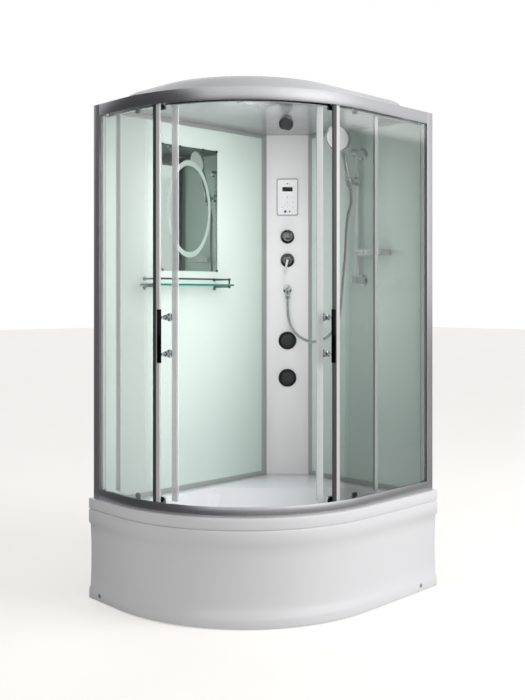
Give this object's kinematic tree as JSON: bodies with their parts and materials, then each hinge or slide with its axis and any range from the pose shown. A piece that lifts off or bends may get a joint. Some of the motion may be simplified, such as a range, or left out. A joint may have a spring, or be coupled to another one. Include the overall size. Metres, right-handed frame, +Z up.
{
  "type": "hydromassage shower cabin",
  "caption": "Free-standing quadrant shower cabin with a deep tray, curved sliding glass doors, a corner control column with body jets, a hand shower on a slide bar and a domed roof.",
  "frame": {"origin": "on the floor under the middle of the cabin's bounding box", "axes": "+Z up, +Y towards the long wall, +X towards the short wall; the curved front faces -X and -Y"},
  "size_m": [1.2, 0.93, 2.185],
  "materials": {
    "white_acrylic": "glossy sanitary acrylic",
    "ceiling_plastic": "glossy moulded panel",
    "white_plastic": "smooth moulded plastic",
    "grey_plastic": "moulded plastic",
    "black_plastic": "moulded plastic",
    "black_gloss": "polished black panel",
    "painted_steel": "powder-coated steel tube",
    "satin_aluminium": "satin anodised",
    "column_paint": "satin paint",
    "backed_glass": "glass painted on its back, opaque",
    "clear_glass": "clear toughened glass",
    "clear_seal": "semi-clear strip",
    "clear_plastic": "translucent plastic",
    "mirror": "silvered glass",
    "chrome": "polished plating",
    "chrome_plastic": "chrome-plated plastic",
    "hose_metal": "metallised flexible hose"
  },
  "bodies": {
    "cabin": {"tray": "white_acrylic", "skirt_panel": "white_acrylic", "roof_shell": "white_acrylic", "ceiling_panel": "ceiling_plastic", "fan_housing": "white_plastic", "base_frame": "painted_steel", "levelling_feet": "black_plastic", "drain_body": "grey_plastic", "drain_cover": "chrome", "left_post": "satin_aluminium", "right_post": "satin_aluminium", "top_rail": "satin_aluminium", "bottom_rail": "satin_aluminium", "fixed_profiles": "satin_aluminium", "post_seals": "white_plastic", "wall_profiles": "satin_aluminium", "column_panel": "column_paint", "long_wall_glass": "backed_glass", "short_wall_glass": "backed_glass", "mirror": "mirror", "shelf_rail": "chrome", "control_panel": "black_gloss", "valve_bodies": "chrome", "hose_outlet": "chrome", "slide_bar": "chrome", "bar_brackets": "chrome", "jet_rings": "chrome_plastic", "overhead_flange": "chrome", "skirt_screw_caps": "chrome_plastic", "shower_hose": "hose_metal", "fixed_glass_left": "clear_glass", "fixed_glass_right": "clear_glass", "shelf_glass": "clear_glass"},
    "left_door": {"door_glass_left": "clear_glass", "door_strips_left": "clear_seal", "door_handle_left": "chrome", "roller_brackets_left": "chrome_plastic"},
    "top_wheel_left_1": {"top_wheel_left_1": "white_plastic"},
    "top_wheel_left_2": {"top_wheel_left_2": "white_plastic"},
    "bottom_wheel_left_1": {"bottom_wheel_left_1": "white_plastic"},
    "bottom_wheel_left_2": {"bottom_wheel_left_2": "white_plastic"},
    "right_door": {"door_glass_right": "clear_glass", "door_strips_right": "clear_seal", "door_handle_right": "chrome", "roller_brackets_right": "chrome_plastic"},
    "top_wheel_right_1": {"top_wheel_right_1": "white_plastic"},
    "top_wheel_right_2": {"top_wheel_right_2": "white_plastic"},
    "bottom_wheel_right_1": {"bottom_wheel_right_1": "white_plastic"},
    "bottom_wheel_right_2": {"bottom_wheel_right_2": "white_plastic"},
    "diverter": {"diverter_knob": "chrome"},
    "mixer_handle": {"mixer_cap": "chrome"},
    "mixer_lift": {"mixer_lever": "chrome"},
    "slider": {"handset_slider": "chrome"},
    "handset": {"handset_holder": "chrome", "hand_shower": "chrome_plastic"},
    "soap_dish": {"soap_dish": "clear_plastic"},
    "upper_jet": {"jet_face_upper": "black_plastic"},
    "lower_jet": {"jet_face_lower": "black_plastic"},
    "overhead": {"overhead_head": "chrome_plastic"},
    "fan": {"fan_rotor": "grey_plastic"}
  },
  "joints": [
    {"name": "left_door_slide", "type": "hinge", "parent": "cabin", "child": "left_door", "pos_m": [0.115, 0.25, 1.25], "axis": [0, 0, 1], "range_deg": [0, 23.6]},
    {"name": "right_door_slide", "type": "hinge", "parent": "cabin", "child": "right_door", "pos_m": [0.115, 0.25, 1.25], "axis": [0, 0, -1], "range_deg": [0, 24.1]},
    {"name": "top_wheel_left_1_spin", "type": "hinge", "parent": "left_door", "child": "top_wheel_left_1", "pos_m": [-0.5389, 0.18127, 2.0553], "axis": [-0.9945, -0.1045, 0], "continuous": true},
    {"name": "top_wheel_left_2_spin", "type": "hinge", "parent": "left_door", "child": "top_wheel_left_2", "pos_m": [-0.5131, 0.05557, 2.0553], "axis": [-0.9553, -0.2957, 0], "continuous": true},
    {"name": "bottom_wheel_left_1_spin", "type": "hinge", "parent": "left_door", "child": "bottom_wheel_left_1", "pos_m": [-0.5389, 0.18127, 0.4423], "axis": [-0.9945, -0.1045, 0], "continuous": true},
    {"name": "bottom_wheel_left_2_spin", "type": "hinge", "parent": "left_door", "child": "bottom_wheel_left_2", "pos_m": [-0.5131, 0.05557, 0.4423], "axis": [-0.9553, -0.2957, 0], "continuous": true},
    {"name": "top_wheel_right_1_spin", "type": "hinge", "parent": "right_door", "child": "top_wheel_right_1", "pos_m": [-0.03514, -0.39013, 2.0553], "axis": [-0.2284, -0.9736, 0], "continuous": true},
    {"name": "top_wheel_right_2_spin", "type": "hinge", "parent": "right_door", "child": "top_wheel_right_2", "pos_m": [0.09091, -0.40706, 2.0553], "axis": [-0.0366, -0.9993, 0], "continuous": true},
    {"name": "bottom_wheel_right_1_spin", "type": "hinge", "parent": "right_door", "child": "bottom_wheel_right_1", "pos_m": [-0.03514, -0.39013, 0.4423], "axis": [-0.2284, -0.9736, 0], "continuous": true},
    {"name": "bottom_wheel_right_2_spin", "type": "hinge", "parent": "right_door", "child": "bottom_wheel_right_2", "pos_m": [0.09091, -0.40706, 0.4423], "axis": [-0.0366, -0.9993, 0], "continuous": true},
    {"name": "diverter_turn", "type": "hinge", "parent": "cabin", "child": "diverter", "pos_m": [0.49486, 0.35986, 1.581], "axis": [-0.7071, -0.7071, 0], "range_deg": [-60, 60]},
    {"name": "mixer_turn", "type": "hinge", "parent": "cabin", "child": "mixer_handle", "pos_m": [0.49486, 0.35986, 1.463], "axis": [-0.7071, -0.7071, 0], "range_deg": [-33, 57]},
    {"name": "mixer_lift", "type": "hinge", "parent": "mixer_handle", "child": "mixer_lift", "pos_m": [0.48655, 0.35155, 1.463], "axis": [-0.6917, 0.6917, 0.2079], "range_deg": [0, 25]},
    {"name": "handset_slide", "type": "slide", "parent": "cabin", "child": "slider", "axis": [0, 0, 1], "range_m": [-0.26, 0.005], "deforming": ["shower_hose"]},
    {"name": "handset_tilt", "type": "hinge", "parent": "slider", "child": "handset", "pos_m": [0.502, -0.056, 1.819], "axis": [0, 1, 0], "range_deg": [-15, 5]},
    {"name": "soap_dish_slide", "type": "slide", "parent": "cabin", "child": "soap_dish", "axis": [0, 0, 1], "range_m": [-0.09, 0.01]},
    {"name": "upper_jet_tilt", "type": "hinge", "parent": "cabin", "child": "upper_jet", "pos_m": [0.50688, 0.37188, 1.061], "axis": [-0.7071, 0.7071, 0], "range_deg": [-12, 12]},
    {"name": "lower_jet_tilt", "type": "hinge", "parent": "cabin", "child": "lower_jet", "pos_m": [0.50688, 0.37188, 0.874], "axis": [-0.7071, 0.7071, 0], "range_deg": [-12, 12]},
    {"name": "overhead_tilt", "type": "hinge", "parent": "cabin", "child": "overhead", "pos_m": [0.163, 0.042, 2.07], "axis": [0.7071, -0.7071, 0], "range_deg": [-6, 20]},
    {"name": "fan_spin", "type": "hinge", "parent": "cabin", "child": "fan", "pos_m": [-0.13, -0.11, 2.1], "axis": [0, 0, 1], "continuous": true}
  ],
  "couplings": [
    {"joint": "top_wheel_left_1_spin", "follows": "left_door_slide", "ratio": -73.056},
    {"joint": "top_wheel_left_2_spin", "follows": "left_door_slide", "ratio": -73.056},
    {"joint": "bottom_wheel_left_1_spin", "follows": "left_door_slide", "ratio": -73.056},
    {"joint": "bottom_wheel_left_2_spin", "follows": "left_door_slide", "ratio": -73.056},
    {"joint": "top_wheel_right_1_spin", "follows": "right_door_slide", "ratio": 73.056},
    {"joint": "top_wheel_right_2_spin", "follows": "right_door_slide", "ratio": 73.056},
    {"joint": "bottom_wheel_right_1_spin", "follows": "right_door_slide", "ratio": 73.056},
    {"joint": "bottom_wheel_right_2_spin", "follows": "right_door_slide", "ratio": 73.056}
  ]
}
